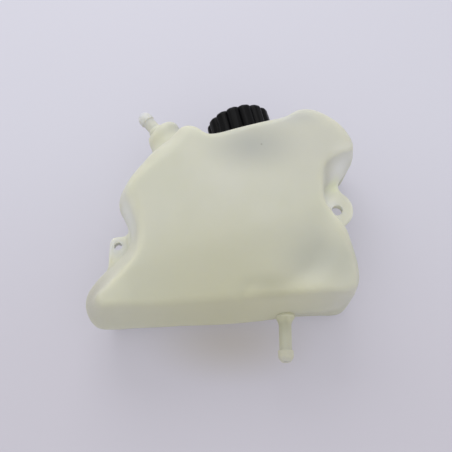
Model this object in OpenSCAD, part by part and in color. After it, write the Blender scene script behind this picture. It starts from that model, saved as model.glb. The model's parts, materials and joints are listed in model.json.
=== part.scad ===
// Coolant expansion tank of translucent plastic with a black screw cap.
// The origin is the centre of the right lug's hole, in the parting plane.
// X runs to the right, Y away from the front face, and Z up. Millimetres.

/* [Tank shell] */
// Depth from the parting plane to the front face
front_depth = 44; // [40:1:48]
// Depth from the parting plane to the back face
back_depth = 44; // [40:1:48]
// Thickness of the blown wall
wall = 3; // [2.5:0.5:3.5]
// How far the lower part of the front face slopes back
basin_slope = 0.17; // [0.1:0.01:0.2]
// How far the middle of each face stands out
crown = 2; // [0:0.5:3]

/* [Filler neck] */
// Lean of the neck to the left of upright
neck_lean = 14; // [12:1:16]
// Radius of the neck's bore, where the valve barrel seals
neck_bore_r = 18; // [17.5:0.5:18.5]
// Thickness of the neck's wall
neck_wall = 3.5; // [3:0.5:4]
// Height of the neck above the body
neck_h = 22; // [21:1:23]

/* [Neck thread] */
// How far the thread's ridges stand out
thread_depth = 1.8; // [1.4:0.1:2]
// Rise of the thread in one turn
thread_lead = 8; // [7:0.5:9]
// Turns that each of the two ridges runs
thread_turns = 1.25; // [1:0.25:1.5]
// Gap between the cap's thread and the neck's
thread_gap = 0.45; // [0.35:0.05:0.6]

/* [Cap] */
// Gap under the cap's skirt
skirt_gap = 2.5; // [2:0.5:3]
// Grip lobes around the skirt
lobes = 14; // [12:1:16]
// Thickness of the skirt's wall between the lobes and the thread
skirt_wall = 3.5; // [3:0.25:4]
// How far the grip lobes stand out from the skirt's wall
grip = 3.25; // [2.5:0.25:4]
// Thickness of the cap's crown
cap_crown = 2.6; // [2.4:0.1:3]
// Rounding of the cap's upper edge
cap_round = 4; // [2.5:0.5:5]

/* [Spigots] */
// Radius of the upper spigot's tube
vent_r = 6; // [5.5:0.25:6.25]
// Radius of the upper spigot's barb
vent_barb_r = 7; // [6.75:0.25:7.5]
// Radius of the lower spigot's tube
outlet_r = 5.5; // [5:0.25:6]
// Radius of the lower spigot's barb
outlet_barb_r = 6.75; // [6.5:0.25:7.25]
// Radius of the bore through both spigots
spigot_bore_r = 3.5; // [3:0.25:4]
// Length of each barb, its tip included
barb_len = 10; // [9:0.5:11]
// Length of each barb's straight land
barb_land = 4; // [3:0.5:5]

/* [Lugs] */
// Thickness of both lugs
lug_t = 8; // [6:1:10]
// Radius of the hole in the right lug
right_hole_r = 5; // [4.5:0.25:5.25]
// Radius of the hole in the left lug
left_hole_r = 3.5; // [3:0.25:4]

/* [Valve] */
// Gap between the barrel and the neck's bore
barrel_gap = 0.4; // [0.3:0.05:0.5]
// Gap between the parts of the valve that move against each other
valve_gap = 0.3; // [0.25:0.05:0.35]
// Radius of the barrel's spring chamber
chamber_r = 13.6; // [13.4:0.1:13.8]
// Radius of the hole that the relief plunger shuts
vent_hole_r = 9; // [8.5:0.25:9.25]
// Thickness of the relief spring's wire
relief_wire = 1.5; // [1.3:0.1:1.7]
// Turns of the relief spring
relief_coils = 4; // [3:0.5:5]
// Thickness of the vacuum spring's wire
vacuum_wire = 0.6; // [0.5:0.05:0.7]
// Turns of the vacuum spring
vacuum_coils = 4; // [3:0.5:5]

/* [Hidden] */

$fn = 64;

// The body's outline, clockwise from the left end of the top edge. Each row is one point of
// the front face's edge, x and z, the parting line's point that it is drawn from, x and z, and
// how far the edge between the face and the side is rounded.
outline = [
    [-119, 61, -119, 62.5, 11], [-90, 68.2, -90, 69.7, 11], [-62, 75.3, -62, 76.8, 11],
    [-47, 79, -46, 82, 11], [-34, 86.5, -33, 90, 11], [-19, 85.5, -19, 90, 11],
    [-1.5, 74.5, 1.5, 79.2, 11], [8.5, 60.5, 13.7, 69.6, 11], [12, 49, 18.5, 60, 10],
    [10, 43.5, 17, 50, 6], [-2, 39, 11, 40, 4], [-11, 33.5, 6, 32, 4],
    [-16, 25, 1, 25, 4], [-16.5, 15, -8, 20, 5], [-16, 2, -16, 14, 6], [-15, -8, -17, 3, 7],
    [-8, -18, -11, -9, 9], [2, -31, 0, -24, 11], [6, -46, 8, -42, 11], [9.5, -63, 13, -62, 11],
    [9.5, -80, 12.5, -79, 9], [1, -88.5, 4, -87.5, 7], [-20, -88.5, -19, -96, 6],
    [-50, -89.5, -50, -101, 6], [-78, -91, -78, -105, 6], [-110, -94, -110, -107.7, 6],
    [-150, -98, -152, -109, 6], [-188, -100, -194, -111, 6], [-206, -101, -215, -111, 7],
    [-211, -94, -226, -98, 8], [-203, -85, -227.5, -82, 9], [-192, -73, -220, -68, 9],
    [-182, -60, -208, -54, 9], [-177.5, -44, -194, -38, 9], [-180, -26, -192, -22, 9],
    [-186, -9, -201, -2, 11], [-191, 4, -203, 10, 11], [-187, 15, -198, 25, 11],
    [-176, 32, -184, 43, 11], [-167, 44, -172, 56, 11], [-155, 55, -158, 66, 11],
    [-143, 69, -145, 72, 11], [-131, 68.5, -131, 70.5, 11]
];
// Where the rings of the faces close
middle = [-92, 5];
middle_r = [48, 42];

// The slanting crease of the front face: a point of it, its angle and how soft it is
crease_at = [-108, -44.4];
crease_angle = 19;
crease_soft = 8;
// The full corner at the lower right: its inner corner, and where it starts and ends to rise
bulge_at = [-62, -38];
bulge_rise = [28, 58];
// Where the lower left corner starts and ends to rise
left_rise = [-178, -200];
// Middle and half axes of the bulge over each whole face
dome_at = [-97, -5];
dome_r = [118, 95];
// The cavity follows the corners' rise this much later, and its coarser curve stays this much
// further in, so that the wall is whole
lag = 10;
chord_room = 0.6;

// Lugs and spigots
left_hole = [-201, -35.5];
left_lug_r = 9;
right_lug_at = [-1, 2.5];
right_lug_r = 18.5;
vent_base = [-171.4, 85.6];
vent_lean = 40;
// The lower spigot stands on this row of the outline, this much beside its point
outlet_row = 23;
outlet_beside = -1;
outlet_at = [outline[outlet_row][2] + outlet_beside, outline[outlet_row][3]];
boss_r = 15.5;
boss_round = 7.5;
boss_depth = 44;
boss_at = [4, 0, -2.5];
root_sunk = 6;
vent_len = 21.5;
outlet_len = 39.5;
vent_flare = [1.5, 2];
outlet_flare = [3.5, 8];
tip_wall = 0.6;
// How far each bore runs on into the cavity, and past the end of what it is cut in
reach = 6;
past = 1;

// Neck, thread and cap
neck_at = [-85, 69.5];
neck_r = neck_bore_r + neck_wall;
neck_sunk = 8;
thread_z = 6;
ridge_w = 2;
ridge_tip_w = 1;
ridge_sunk = 0.6;
cap_thread_turns = 1;
cap_bore_r = neck_r + thread_depth + thread_gap;
cap_r = cap_bore_r + skirt_wall + grip;
lobe_r = 7;
lobe_flat = 0.3;

// The valve's heights are measured from the neck's foot
barrel_r = neck_bore_r - barrel_gap;
barrel_z = -5;
seat_z = barrel_z + 2.4;
seal_t = 1.6;
seal_lap = [1.8, 2.2];
plate_z = seat_z + seal_t;
plate_t = 2;
plate_top_z = plate_z + plate_t;
guide_r = 8.2;
guide_h = 1.5;
recess_r = 5.2;
port_at = 4.1;
port_r = 0.8;
notch_r = 2.6;
relief_mean_r = 10;

// The barrel's head snaps over the lip of the cap's hub
snap_gap = 0.4;
hub_r = chamber_r + 2.4;
hub_wall = 2.4;
hub_z = neck_h + 1.2;
lip = [1.2, 0.9];
flange_r = neck_r - 0.9;
collar_z = neck_h + 3.6;
ceiling_z = collar_z + 0.6;
cap_top = ceiling_z + cap_crown;
cover_z = neck_h - 1.5;
cover_t = hub_z - snap_gap - cover_z;
cover_r = chamber_r + 0.8;
cover_hole_at = 5.5;
cover_hole_r = 1.5;

// Groove and ring that seal the barrel in the neck
groove_z = 8;
groove_w = 3;
o_ring_wire = 2.7;
o_ring_gap = 0.05;
o_ring_mean_r = neck_bore_r - o_ring_gap - o_ring_wire / 2;
groove_r = neck_bore_r - 2 * o_ring_gap - o_ring_wire;

// The poppet hangs in the plunger on its spring and clip
poppet_r = 6;
poppet_t = 1.6;
stem_r = 1.8;
stem_past = 0.7;
vacuum_mean_r = 3.4;
clip_z = plate_top_z + 6;
clip_r = 4.4;
clip_t = 0.8;

// Smooth step from 0 at a to 1 at b
function ramp(a, b, v) = let (t = min(1, max(0, (v - a) / (b - a)))) t * t * (3 - 2 * t);

// A closed smooth curve through the points p
function curve_at(p, i, t) =
    let (n = len(p), a = p[(i + n - 1) % n], b = p[i], c = p[(i + 1) % n], d = p[(i + 2) % n])
    (2 * b + (c - a) * t + (2 * a - 5 * b + 4 * c - d) * t * t + (3 * b - a - 3 * c + d) * t * t * t) / 2;
function curve(p, steps) = [for (i = [0:len(p) - 1], s = [0:steps - 1]) curve_at(p, i, s / steps)];

// The curve moved inward by d, square to its own direction
function inward(p, d) = [for (i = [0:len(p) - 1])
    let (n = len(p), along = p[(i + 1) % n] - p[(i + n - 1) % n], u = along / norm(along))
    p[i] + d * [u[1], -u[0]]];

// How far the front face stands out at x, z: it slopes back below a slanting crease, and
// the lower right and lower left corners stay full
function relief(x, z, late) =
    let (
        crease_z = crease_at[1] + tan(crease_angle) * (x - crease_at[0]),
        below = max(0, (crease_z - z) * cos(crease_angle) + crease_soft / 2),
        across = max(0, x - bulge_at[0]),
        down = max(0, bulge_at[1] - z) * ramp(-120, -75, x),
        full = ramp(bulge_rise[0] + late, bulge_rise[1] + late, norm([across, down])),
        left = ramp(left_rise[0] - late, left_rise[1] - late, x)
    )
    -basin_slope * below * below / (below + crease_soft) * (1 - full) * (1 - left);
function dome(x, z) =
    crown * max(0, 1 - pow((x - dome_at[0]) / dome_r[0], 2) - pow((z - dome_at[1]) / dome_r[1], 2));

// Depth of a face at x, z. The front face has the relief, late or not
function face_y(x, z, depth, front, late) = depth + dome(x, z) + (front ? relief(x, z, late) : 0);

// One point of ring k on the way from the parting line over the rounded edge to the middle
wall_steps = 2;
round_steps = 4;
function ring_point(k, line, edge, target, depth, r, front, face_steps, late) =
    let (
        apex = [edge[0], face_y(edge[0], edge[1], depth, front, late), edge[1]],
        foot = [line[0], 0, line[1]],
        start = apex + (foot - apex) * r / norm(foot - apex),
        flat = edge + (target - edge) * r / norm(target - edge),
        last = [flat[0], face_y(flat[0], flat[1], depth, front, late), flat[1]]
    )
    k < wall_steps ? foot + (start - foot) * k / wall_steps :
    k <= wall_steps + round_steps ?
        let (t = (k - wall_steps) / round_steps)
        start * (1 - t) * (1 - t) + apex * 2 * t * (1 - t) + last * t * t :
    let (
        t = (k - wall_steps - round_steps) / (face_steps + 1),
        via = t < 0.5 ? flat + (target - flat) * t * 2 : target + (middle - target) * (t * 2 - 1)
    )
    [via[0], face_y(via[0], via[1], depth, front, late), via[1]];

// The points of one half, from the parting line to the middle of its face
function half(line, edge, depth, r, front, face_steps, late) =
    [for (k = [(front ? 0 : 1):wall_steps + round_steps + face_steps], i = [0:len(line) - 1])
        let (
            angle = 107 - 360 * i / len(line),
            target = middle + [middle_r[0] * cos(angle), middle_r[1] * sin(angle)],
            p = ring_point(k, line[i], edge[i], target, depth, r[i], front, face_steps, late)
        )
        [p[0], front ? -p[1] : p[1], p[2]]];

// A closed body: the front rings, the front's middle, the back rings and the back's middle
module shell_solid(line, edge, front, back, r, face_steps, late) {
    n = len(line);
    last = wall_steps + round_steps + face_steps;
    front_rings = half(line, edge, front, r, true, face_steps, late);
    back_rings = half(line, edge, back, r, false, face_steps, late);
    at_front = len(front_rings);
    at_back = at_front + 1 + len(back_rings);
    points = concat(
        front_rings, [[middle[0], -face_y(middle[0], middle[1], front, true, late), middle[1]]],
        back_rings, [[middle[0], face_y(middle[0], middle[1], back, false, late), middle[1]]]
    );
    function back_at(k, i) = k == 0 ? i : at_front + 1 + (k - 1) * n + i;
    polyhedron(points, concat(
        [for (k = [0:last - 1], i = [0:n - 1])
            let (j = (i + 1) % n, a = k * n, b = a + n)
            each [[a + i, b + j, b + i], [a + i, a + j, b + j]]],
        [for (i = [0:n - 1]) [last * n + i, last * n + (i + 1) % n, at_front]],
        [for (k = [0:last - 1], i = [0:n - 1])
            let (j = (i + 1) % n)
            each [[back_at(k, i), back_at(k + 1, j), back_at(k, j)],
                [back_at(k, i), back_at(k + 1, i), back_at(k + 1, j)]]],
        [for (i = [0:n - 1]) [back_at(last, i), at_back, back_at(last, (i + 1) % n)]]
    ));
}

// The outline drawn with this many steps between two rows
function face_edge(steps) = curve([for (p = outline) [p[0], p[1]]], steps);
function part_line(steps) = curve([for (p = outline) [p[2], p[3]]], steps);
function edge_r(steps) = [for (p = curve([for (q = outline) [q[4], 0]], steps)) p[0]];

module outer_solid() {
    shell_solid(part_line(2), face_edge(2), front_depth, back_depth, edge_r(2), 5, 0);
}

module cavity_solid() {
    line = inward(part_line(1), wall + chord_room);
    edge = inward(face_edge(1), wall + chord_room);
    r = [for (outer_r = edge_r(1)) max(3, outer_r - wall / 2)];
    shell_solid(line, edge, front_depth - wall, back_depth - wall, r, 5, lag);
}

// The parting plane's x and z, and the neck's own frame
module at_xz(p) {
    translate([p[0], 0, p[1]]) children();
}
module in_neck() {
    at_xz(neck_at) rotate([0, -neck_lean, 0]) children();
}
module in_vent() {
    at_xz(vent_base) rotate([0, -vent_lean, 0]) children();
}
module in_outlet() {
    at_xz(outlet_at) rotate([180, 0, 0]) children();
}

// A ridge of the thread that climbs around Z from root_r, in which it is sunk, to tip_r
module ridge(root_r, tip_r, turns) {
    per_turn = 20;
    steps = round(per_turn * turns);
    sunk_r = root_r + (root_r > tip_r ? ridge_sunk : -ridge_sunk);
    half_w = ridge_w / 2;
    half_tip = ridge_tip_w / 2;
    section = [[sunk_r, -half_w], [tip_r, -half_tip], [tip_r, half_tip], [sunk_r, half_w]];
    order = root_r > tip_r ? [0, 1, 2, 3] : [3, 2, 1, 0];
    points = [for (k = [0:steps], j = order)
        let (angle = 360 * k / per_turn, z = thread_z + thread_lead * k / per_turn)
        [section[j][0] * cos(angle), section[j][0] * sin(angle), section[j][1] + z]];
    polyhedron(points, concat(
        [[0, 1, 2], [0, 2, 3]],
        [for (k = [0:steps - 1], j = [0:3])
            let (a = 4 * k + j, b = 4 * k + (j + 1) % 4)
            each [[a, a + 4, b + 4], [a, b + 4, b]]],
        [let (e = 4 * steps) each [[e, e + 2, e + 1], [e, e + 3, e + 2]]]
    ));
}

// A closed coil spring along Z between the heights low and high
module coil(mean_r, wire, low, high, coils) {
    per_turn = 18;
    sides = 8;
    steps = round(per_turn * coils);
    first = low + wire / 2;
    rise = high - low - wire;
    points = [for (k = [0:steps], j = [0:sides - 1])
        let (
            angle = 360 * k / per_turn,
            z = first + rise * k / steps,
            r = mean_r + wire / 2 * cos(360 * j / sides)
        )
        [r * cos(angle), r * sin(angle), z + wire / 2 * sin(360 * j / sides)]];
    polyhedron(points, concat(
        [[for (j = [0:sides - 1]) j]],
        [for (k = [0:steps - 1], j = [0:sides - 1])
            let (a = sides * k + j, b = sides * k + (j + 1) % sides)
            each [[a, a + sides, b + sides], [a, b + sides, b]]],
        [[for (j = [0:sides - 1]) sides * steps + sides - 1 - j]]
    ));
}

// A hose spigot along Z from its root: a flare of a width and height, a tube, and a barb
// with a straight land and a tip that narrows towards the bore
module spigot(r, barb_r, length, flare) {
    back = length - barb_len;
    tip_from = back + barb_land;
    tip_in = barb_r - spigot_bore_r - tip_wall;
    rotate_extrude()
    polygon([
        [0, -root_sunk], [r + flare[0], -root_sunk],
        for (t = [0:0.25:1]) [r + flare[0] * (1 - t) * (1 - t), flare[1] * t],
        [r, back], [barb_r, back],
        for (t = [0:0.25:1]) [barb_r - tip_in * t * t, tip_from + (length - tip_from) * t],
        [0, length]
    ]);
}

// The rounded boss behind the upper spigot, its top at Z = 0
module boss(r, round_r, depth) {
    translate([0, 0, -depth]) cylinder(r = r, h = depth - round_r);
    translate([0, 0, -round_r]) {
        rotate_extrude() translate([r - round_r, 0]) circle(r = round_r);
        cylinder(r = r - round_r, h = round_r);
    }
}

module right_lug() {
    rotate([90, 0, 0])
    linear_extrude(height = lug_t, center = true) {
        translate(right_lug_at) circle(r = right_lug_r);
        polygon([[-24, 6], [-18, 28], [1, 28], [4.5, 19], [9, 12], [9, -12], [6, -28], [-16, -18]]);
    }
}

module left_lug() {
    rotate([90, 0, 0])
    linear_extrude(height = lug_t, center = true) {
        translate([left_hole[0] + 0.5, left_hole[1] + 2.5]) circle(r = left_lug_r);
        polygon([[-209.5, -33], [-209.5, -56], [-196, -58], [-184, -42], [-184, -24], [-200, -24]]);
    }
}

// What stands on the body: the boss, both spigots, the lugs and the threaded neck
module fittings() {
    in_vent() {
        translate(boss_at) boss(boss_r, boss_round, boss_depth);
        spigot(vent_r, vent_barb_r, vent_len, vent_flare);
    }
    in_outlet() spigot(outlet_r, outlet_barb_r, outlet_len, outlet_flare);
    right_lug();
    left_lug();
    in_neck() {
        translate([0, 0, -neck_sunk]) cylinder(r = neck_r, h = neck_h + neck_sunk);
        for (start = [0, 180])
            rotate([0, 0, start]) ridge(neck_r, neck_r + thread_depth, thread_turns);
    }
}

// A bore along Z between the heights low and high, run out past the upper one
module bore(r, low, high) {
    translate([0, 0, low]) cylinder(r = r, h = high + past - low);
}

// What is hollow besides the body: the boss, the neck, both spigots and the lugs' holes
module hollows() {
    in_vent() {
        translate(boss_at - [0, 0, wall]) boss(boss_r - wall, boss_round - wall, boss_depth - wall);
        bore(spigot_bore_r, -wall - reach, vent_len);
    }
    in_outlet() bore(spigot_bore_r, -wall - reach, outlet_len);
    in_neck() bore(neck_bore_r, -neck_sunk - reach, neck_h);
    rotate([90, 0, 0]) bore(right_hole_r, -lug_t / 2 - past, lug_t / 2);
    at_xz(left_hole) rotate([90, 0, 0]) bore(left_hole_r, -lug_t / 2 - past, lug_t / 2);
}

module tank_body() color([0.77, 0.77, 0.69])
difference() {
    union() {
        outer_solid();
        fittings();
    }
    cavity_solid();
    hollows();
}

module cap_shell() color([0.1, 0.1, 0.12])
in_neck() {
    difference() {
        intersection() {
            translate([0, 0, skirt_gap])
            linear_extrude(height = cap_top - skirt_gap) {
                circle(r = cap_bore_r + skirt_wall);
                for (i = [0:lobes - 1])
                    rotate(360 * i / lobes)
                    translate([cap_r + lobe_flat - lobe_r, 0]) circle(r = lobe_r);
            }
            union() {
                cylinder(r = cap_r, h = cap_top - cap_round);
                translate([0, 0, cap_top - cap_round]) {
                    rotate_extrude() translate([cap_r - cap_round, 0]) circle(r = cap_round);
                    cylinder(r = cap_r - cap_round, h = cap_round);
                }
            }
        }
        translate([0, 0, skirt_gap - past]) cylinder(r = cap_bore_r, h = ceiling_z - skirt_gap + past);
    }
    for (start = [90, 270])
        rotate([0, 0, start]) ridge(cap_bore_r, neck_r + thread_gap, cap_thread_turns);
    rotate_extrude()
    polygon([
        [hub_r - hub_wall, hub_z], [hub_r + lip[0], hub_z], [hub_r + lip[0], hub_z + lip[1]],
        [hub_r, hub_z + lip[1]], [hub_r, ceiling_z + cap_crown / 2],
        [hub_r - hub_wall, ceiling_z + cap_crown / 2]
    ]);
}

module valve_barrel() color([0.16, 0.16, 0.18])
in_neck() {
    snap_r = hub_r + lip[0] + snap_gap;
    snap_z = hub_z + lip[1] + snap_gap;
    rotate_extrude()
    polygon([
        [vent_hole_r, barrel_z], [barrel_r, barrel_z], [barrel_r, groove_z],
        [groove_r, groove_z], [groove_r, groove_z + groove_w], [barrel_r, groove_z + groove_w],
        [barrel_r, neck_h], [flange_r, neck_h], [flange_r, collar_z],
        [hub_r + snap_gap, collar_z], [hub_r + snap_gap, snap_z], [snap_r, snap_z],
        [snap_r, hub_z - snap_gap], [cover_r, hub_z - snap_gap], [cover_r, cover_z],
        [chamber_r, cover_z], [chamber_r, seat_z], [vent_hole_r, seat_z]
    ]);
}

module neck_o_ring() color([0.08, 0.08, 0.08])
in_neck() translate([0, 0, groove_z + groove_w / 2])
rotate_extrude() translate([o_ring_mean_r, 0]) circle(r = o_ring_wire / 2);

module spring_cover() color([0.2, 0.2, 0.22])
in_neck() translate([0, 0, cover_z])
difference() {
    cylinder(r = cover_r, h = cover_t);
    for (i = [0:5])
        rotate([0, 0, 60 * i]) translate([cover_hole_at, 0]) bore(cover_hole_r, -past, cover_t);
}

module relief_spring() color([0.7, 0.7, 0.72])
in_neck() coil(relief_mean_r, relief_wire, plate_top_z, cover_z, relief_coils);

// A plate with a raised guide for the spring, ports that the poppet shuts, and notches
// around its edge that let the coolant past
module relief_plunger() color([0.85, 0.85, 0.8])
in_neck() translate([0, 0, plate_z])
difference() {
    union() {
        cylinder(r = chamber_r - valve_gap, h = plate_t);
        cylinder(r = guide_r, h = plate_t + guide_h);
    }
    bore(stem_r + valve_gap, -past, plate_t + guide_h);
    bore(recess_r, plate_t, plate_t + guide_h);
    for (i = [0:3]) {
        rotate([0, 0, 90 * i]) translate([port_at, 0]) bore(port_r, -past, plate_t);
        rotate([0, 0, 90 * i + 45]) translate([chamber_r + 1, 0]) bore(notch_r, -past, plate_t);
    }
}

module plunger_seal() color([0.1, 0.1, 0.1])
in_neck() translate([0, 0, seat_z])
difference() {
    cylinder(r = vent_hole_r + seal_lap[1], h = seal_t);
    bore(vent_hole_r - seal_lap[0], -past, seal_t);
}

module vacuum_poppet() color([0.75, 0.62, 0.3])
in_neck() translate([0, 0, plate_z - poppet_t]) {
    cylinder(r = poppet_r, h = poppet_t);
    cylinder(r = stem_r, h = clip_z + clip_t + stem_past - plate_z + poppet_t);
}

module vacuum_spring() color([0.7, 0.7, 0.72])
in_neck() coil(vacuum_mean_r, vacuum_wire, plate_top_z, clip_z, vacuum_coils);

module vacuum_clip() color([0.75, 0.75, 0.77])
in_neck() translate([0, 0, clip_z])
difference() {
    cylinder(r = clip_r, h = clip_t);
    bore(stem_r, -past, clip_t);
}

tank_body();
cap_shell();
valve_barrel();
neck_o_ring();
spring_cover();
relief_spring();
relief_plunger();
plunger_seal();
vacuum_poppet();
vacuum_spring();
vacuum_clip();
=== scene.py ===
# %% [markdown]
# # A coolant expansion tank
# The tank is blown from milky plastic in one piece, with its hose spigots, its two lugs and a
# neck that leans to the left behind the top crest. A black screw cap closes the neck. The
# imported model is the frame: it gives every size, and the surfaces here follow it more finely.

# %% Load the frame
import json
import math

import bpy
import numpy as np
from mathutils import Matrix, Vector

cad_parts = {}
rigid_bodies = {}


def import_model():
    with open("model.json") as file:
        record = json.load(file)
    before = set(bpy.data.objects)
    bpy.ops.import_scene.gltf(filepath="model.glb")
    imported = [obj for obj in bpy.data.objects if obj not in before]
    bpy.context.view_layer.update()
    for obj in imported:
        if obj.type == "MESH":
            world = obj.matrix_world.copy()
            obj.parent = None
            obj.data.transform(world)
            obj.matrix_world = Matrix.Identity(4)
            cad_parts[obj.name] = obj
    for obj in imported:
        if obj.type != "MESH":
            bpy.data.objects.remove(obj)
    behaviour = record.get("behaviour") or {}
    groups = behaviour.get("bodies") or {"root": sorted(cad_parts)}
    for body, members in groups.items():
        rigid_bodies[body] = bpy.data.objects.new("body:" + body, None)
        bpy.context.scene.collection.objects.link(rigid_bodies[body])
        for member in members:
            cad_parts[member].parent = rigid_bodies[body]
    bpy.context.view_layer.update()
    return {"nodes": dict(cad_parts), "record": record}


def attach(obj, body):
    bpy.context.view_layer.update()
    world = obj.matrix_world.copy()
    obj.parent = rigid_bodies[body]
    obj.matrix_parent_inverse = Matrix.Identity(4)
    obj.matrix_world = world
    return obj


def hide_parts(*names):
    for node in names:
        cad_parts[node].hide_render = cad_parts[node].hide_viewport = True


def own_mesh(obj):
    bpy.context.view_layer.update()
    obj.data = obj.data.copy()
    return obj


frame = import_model()
MM = 0.001

# %% [markdown]
# ## From an array of points to a solid
# A blown body, a turned ring and a coiled wire are all the same thing to Blender: rings of
# points, each joined to the next. One helper makes the faces of such a grid and closes its two
# ends with a middle point each. The signed volume says whether the faces point outwards, and
# they are turned if they don't.

# %% Grid helpers
def grid_faces(rows, columns):
    """Quads between each row of points and the next; each row runs round on itself."""
    c = np.arange(columns)
    n = (c + 1) % columns
    here = np.arange(rows - 1)[:, None] * columns
    above = here + columns
    return np.stack([here + c, here + n, above + n, above + c], -1).reshape(-1, 4)


def signed_volume(points, quads, triangles):
    """A sixth of the sum of each triangle's scalar triple product."""
    t = np.concatenate([quads[:, [0, 1, 2]], quads[:, [0, 2, 3]], triangles])
    a, b, c = points[t[:, 0]], points[t[:, 1]], points[t[:, 2]]
    return np.einsum("ij,ij->i", a, np.cross(b, c)).sum() / 6


def solid(name, rings, start, end):
    """A closed mesh object from rings of points (rows, columns, 3) in millimetres.

    start and end are the middle points that close the first and the last ring with a fan."""
    rows, columns = rings.shape[:2]
    points = np.concatenate([rings.reshape(-1, 3), [start], [end]])
    quads = grid_faces(rows, columns)
    c = np.arange(columns)
    n, last = (c + 1) % columns, (rows - 1) * columns
    first_fan = np.stack([n, c, np.full(columns, rows * columns)], -1)
    last_fan = np.stack([last + c, last + n, np.full(columns, rows * columns + 1)], -1)
    triangles = np.concatenate([first_fan, last_fan])
    if signed_volume(points, quads, triangles) < 0:
        quads, triangles = quads[:, ::-1], triangles[:, ::-1]
    mesh = bpy.data.meshes.new(name)
    mesh.from_pydata((points * MM).tolist(), [], quads.tolist() + triangles.tolist())
    made = bpy.data.objects.new(name, mesh)
    bpy.context.scene.collection.objects.link(made)
    return made


def smooth_by_angle(obj, degrees):
    """Smooth shading, with sharp edges where the faces meet at more than this angle."""
    obj.data.polygons.foreach_set("use_smooth", np.ones(len(obj.data.polygons), bool))
    obj.data.set_sharp_from_angle(angle=math.radians(degrees))


def settle(obj):
    """Replace the mesh by what its modifiers make of it."""
    bpy.context.view_layer.update()
    graph = bpy.context.evaluated_depsgraph_get()
    mesh = bpy.data.meshes.new_from_object(obj.evaluated_get(graph))
    obj.modifiers.clear()
    obj.data = mesh


def combine(base, other, how):
    """Union or difference of two closed solids; the second is used up."""
    step = base.modifiers.new(how.lower(), "BOOLEAN")
    step.operation, step.solver, step.object = how, "MANIFOLD", other
    settle(base)
    bpy.data.objects.remove(other)


# %% [markdown]
# ## The blown body
# The body has two outlines. The parting line is where the halves of the mould met, and the
# edge of each face lies further in, as plastic leaves a mould only if its sides taper. At the
# right the face's edge draws back by 17 mm, which makes the pocket above the lug. Each outline
# is a smooth closed curve through a few points, the same ones as in the frame. Only the edge at
# the upper left is rounder here.

# %% Outline
# Each row: x and z of the face's edge, x and z of the parting line, radius of the edge
OUTLINE = np.array([
    [-119, 61, -119, 62.5, 11], [-90, 68.2, -90, 69.7, 11], [-62, 75.3, -62, 76.8, 11],
    [-47, 79, -46, 82, 11], [-34, 86.5, -33, 90, 11], [-19, 85.5, -19, 90, 11],
    [-1.5, 74.5, 1.5, 79.2, 11], [8.5, 60.5, 13.7, 69.6, 11], [12, 49, 18.5, 60, 10],
    [10, 43.5, 17, 50, 6], [-2, 39, 11, 40, 4], [-11, 33.5, 6, 32, 4],
    [-16, 25, 1, 25, 4], [-16.5, 15, -8, 20, 5], [-16, 2, -16, 14, 6], [-15, -8, -17, 3, 7],
    [-8, -18, -11, -9, 9], [2, -31, 0, -24, 11], [6, -46, 8, -42, 11], [9.5, -63, 13, -62, 11],
    [9.5, -80, 12.5, -79, 9], [1, -88.5, 4, -87.5, 7], [-20, -88.5, -19, -96, 6],
    [-50, -89.5, -50, -101, 6], [-78, -91, -78, -105, 6], [-110, -94, -110, -107.7, 6],
    [-150, -98, -152, -109, 6], [-188, -100, -194, -111, 6], [-206, -101, -215, -111, 7],
    [-211, -94, -226, -98, 8], [-203, -85, -227.5, -82, 9], [-192, -73, -220, -68, 9],
    [-182, -60, -208, -54, 9], [-177.5, -44, -194, -38, 9], [-180, -26, -192, -22, 9],
    [-186, -9, -201, -2, 11], [-191, 4, -203, 10, 11], [-187, 15, -198, 25, 11],
    [-176, 32, -184, 43, 16], [-167, 44, -172, 56, 17], [-155, 55, -158, 66, 16],
    [-143, 69, -145, 72, 11], [-131, 68.5, -131, 70.5, 11]])
FRONT_DEPTH, BACK_DEPTH, WALL = 44.0, 44.0, 3.0


def smooth_closed(points, steps):
    """Catmull-Rom curve: a cubic between each two points, level with their neighbours' chord."""
    a, b, c, d = (np.roll(points, k, 0)[:, None] for k in (1, 0, -1, -2))
    t = (np.arange(steps) / steps)[None, :, None]
    cubic = 2 * b + (c - a) * t + (2 * a - 5 * b + 4 * c - d) * t**2 + (3 * b - a - 3 * c + d) * t**3
    return (cubic / 2).reshape(-1, points.shape[1])


def outlines(steps):
    """The face's edge, the parting line and the edge's radius, with this many points a row."""
    drawn = smooth_closed(OUTLINE, steps)
    return drawn[:, 0:2], drawn[:, 2:4], drawn[:, 4]


FACE_EDGE, PARTING_LINE, EDGE_ROUND = outlines(8)
print("outline of", len(OUTLINE), "rows drawn with", len(PARTING_LINE), "points")

# %% [markdown]
# ## The faces' relief
# In the photograph a soft crease slants over the front face. Below it the face slopes back,
# so it turns away from the light, while the lower corners stay full. Each of these is a smooth
# step or a soft fold of the face's depth, so light slides over them with no line.

# %% Relief of the faces
DOME_AT, DOME_R, DOME_H = (-97, -5), (118, 95), 2
CREASE_AT, CREASE_SLANT, CREASE_SOFT, FALL = (-108, -44.4), math.radians(19), 8, 0.17
RIGHT_CORNER, RIGHT_RISE, RIGHT_FADE = (-62, -38), (38, 62), (-120, -75)
LEFT_RISE = (-178, -200)


def smooth_step(a, b, v):
    """0 at a, 1 at b and level at both ends: t squared times 3 - 2t."""
    t = np.clip((v - a) / (b - a), 0, 1)
    return t * t * (3 - 2 * t)


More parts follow.
